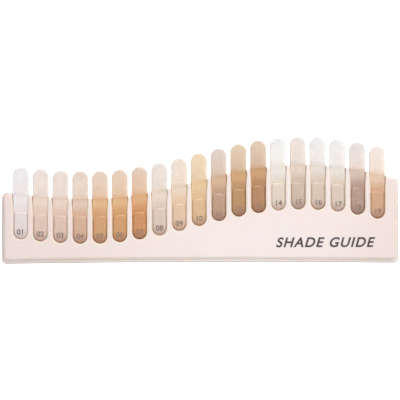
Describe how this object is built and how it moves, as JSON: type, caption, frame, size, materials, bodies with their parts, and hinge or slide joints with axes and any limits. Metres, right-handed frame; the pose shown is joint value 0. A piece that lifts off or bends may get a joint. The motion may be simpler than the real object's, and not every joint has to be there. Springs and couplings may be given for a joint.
{
  "type": "dental shade guide",
  "caption": "Long flat holder with a wavy top edge and a row of round-ended shade tabs that slide out of their recesses, for matching the colour of a filling to a tooth.",
  "frame": {"origin": "middle of the guide's length and height, on the holder's flat back face", "axes": "+X along the row of tabs, +Y the way the tabs point, +Z out of the front face; the guide lies on its back"},
  "size_m": [0.2018, 0.0638, 0.008],
  "materials": {
    "holder_front": "satin moulded cream plastic",
    "back_cover": "satin moulded cream plastic",
    "shade_tab_01": "polished translucent resin",
    "shade_tab_02": "polished translucent resin",
    "shade_tab_03": "polished translucent resin",
    "shade_tab_04": "polished translucent resin",
    "shade_tab_05": "polished translucent resin",
    "shade_tab_06": "polished translucent resin",
    "shade_tab_07": "polished translucent resin",
    "shade_tab_08": "polished translucent resin",
    "shade_tab_09": "polished translucent resin",
    "shade_tab_10": "polished translucent resin",
    "shade_tab_11": "polished translucent resin",
    "shade_tab_12": "polished translucent resin",
    "shade_tab_13": "polished translucent resin",
    "shade_tab_14": "polished translucent resin",
    "shade_tab_15": "polished translucent resin",
    "shade_tab_16": "polished translucent resin",
    "shade_tab_17": "polished translucent resin",
    "shade_tab_18": "polished translucent resin",
    "shade_tab_19": "polished translucent resin"
  },
  "bodies": {
    "holder": {"holder_front": "holder_front", "back_cover": "back_cover"},
    "shade_tab_01": {"shade_tab_01": "shade_tab_01"},
    "shade_tab_02": {"shade_tab_02": "shade_tab_02"},
    "shade_tab_03": {"shade_tab_03": "shade_tab_03"},
    "shade_tab_04": {"shade_tab_04": "shade_tab_04"},
    "shade_tab_05": {"shade_tab_05": "shade_tab_05"},
    "shade_tab_06": {"shade_tab_06": "shade_tab_06"},
    "shade_tab_07": {"shade_tab_07": "shade_tab_07"},
    "shade_tab_08": {"shade_tab_08": "shade_tab_08"},
    "shade_tab_09": {"shade_tab_09": "shade_tab_09"},
    "shade_tab_10": {"shade_tab_10": "shade_tab_10"},
    "shade_tab_11": {"shade_tab_11": "shade_tab_11"},
    "shade_tab_12": {"shade_tab_12": "shade_tab_12"},
    "shade_tab_13": {"shade_tab_13": "shade_tab_13"},
    "shade_tab_14": {"shade_tab_14": "shade_tab_14"},
    "shade_tab_15": {"shade_tab_15": "shade_tab_15"},
    "shade_tab_16": {"shade_tab_16": "shade_tab_16"},
    "shade_tab_17": {"shade_tab_17": "shade_tab_17"},
    "shade_tab_18": {"shade_tab_18": "shade_tab_18"},
    "shade_tab_19": {"shade_tab_19": "shade_tab_19"}
  },
  "joints": [
    {"name": "tab_01_slide", "type": "slide", "parent": "holder", "child": "shade_tab_01", "axis": [0, 1, 0], "range_m": [0, 0.024]},
    {"name": "tab_02_slide", "type": "slide", "parent": "holder", "child": "shade_tab_02", "axis": [0, 1, 0], "range_m": [0, 0.024]},
    {"name": "tab_03_slide", "type": "slide", "parent": "holder", "child": "shade_tab_03", "axis": [0, 1, 0], "range_m": [0, 0.024]},
    {"name": "tab_04_slide", "type": "slide", "parent": "holder", "child": "shade_tab_04", "axis": [0, 1, 0], "range_m": [0, 0.024]},
    {"name": "tab_05_slide", "type": "slide", "parent": "holder", "child": "shade_tab_05", "axis": [0, 1, 0], "range_m": [0, 0.024]},
    {"name": "tab_06_slide", "type": "slide", "parent": "holder", "child": "shade_tab_06", "axis": [0, 1, 0], "range_m": [0, 0.024]},
    {"name": "tab_07_slide", "type": "slide", "parent": "holder", "child": "shade_tab_07", "axis": [0, 1, 0], "range_m": [0, 0.024]},
    {"name": "tab_08_slide", "type": "slide", "parent": "holder", "child": "shade_tab_08", "axis": [0, 1, 0], "range_m": [0, 0.024]},
    {"name": "tab_09_slide", "type": "slide", "parent": "holder", "child": "shade_tab_09", "axis": [0, 1, 0], "range_m": [0, 0.024]},
    {"name": "tab_10_slide", "type": "slide", "parent": "holder", "child": "shade_tab_10", "axis": [0, 1, 0], "range_m": [0, 0.024]},
    {"name": "tab_11_slide", "type": "slide", "parent": "holder", "child": "shade_tab_11", "axis": [0, 1, 0], "range_m": [0, 0.024]},
    {"name": "tab_12_slide", "type": "slide", "parent": "holder", "child": "shade_tab_12", "axis": [0, 1, 0], "range_m": [0, 0.024]},
    {"name": "tab_13_slide", "type": "slide", "parent": "holder", "child": "shade_tab_13", "axis": [0, 1, 0], "range_m": [0, 0.024]},
    {"name": "tab_14_slide", "type": "slide", "parent": "holder", "child": "shade_tab_14", "axis": [0, 1, 0], "range_m": [0, 0.024]},
    {"name": "tab_15_slide", "type": "slide", "parent": "holder", "child": "shade_tab_15", "axis": [0, 1, 0], "range_m": [0, 0.024]},
    {"name": "tab_16_slide", "type": "slide", "parent": "holder", "child": "shade_tab_16", "axis": [0, 1, 0], "range_m": [0, 0.024]},
    {"name": "tab_17_slide", "type": "slide", "parent": "holder", "child": "shade_tab_17", "axis": [0, 1, 0], "range_m": [0, 0.024]},
    {"name": "tab_18_slide", "type": "slide", "parent": "holder", "child": "shade_tab_18", "axis": [0, 1, 0], "range_m": [0, 0.024]},
    {"name": "tab_19_slide", "type": "slide", "parent": "holder", "child": "shade_tab_19", "axis": [0, 1, 0], "range_m": [0, 0.024]}
  ]
}
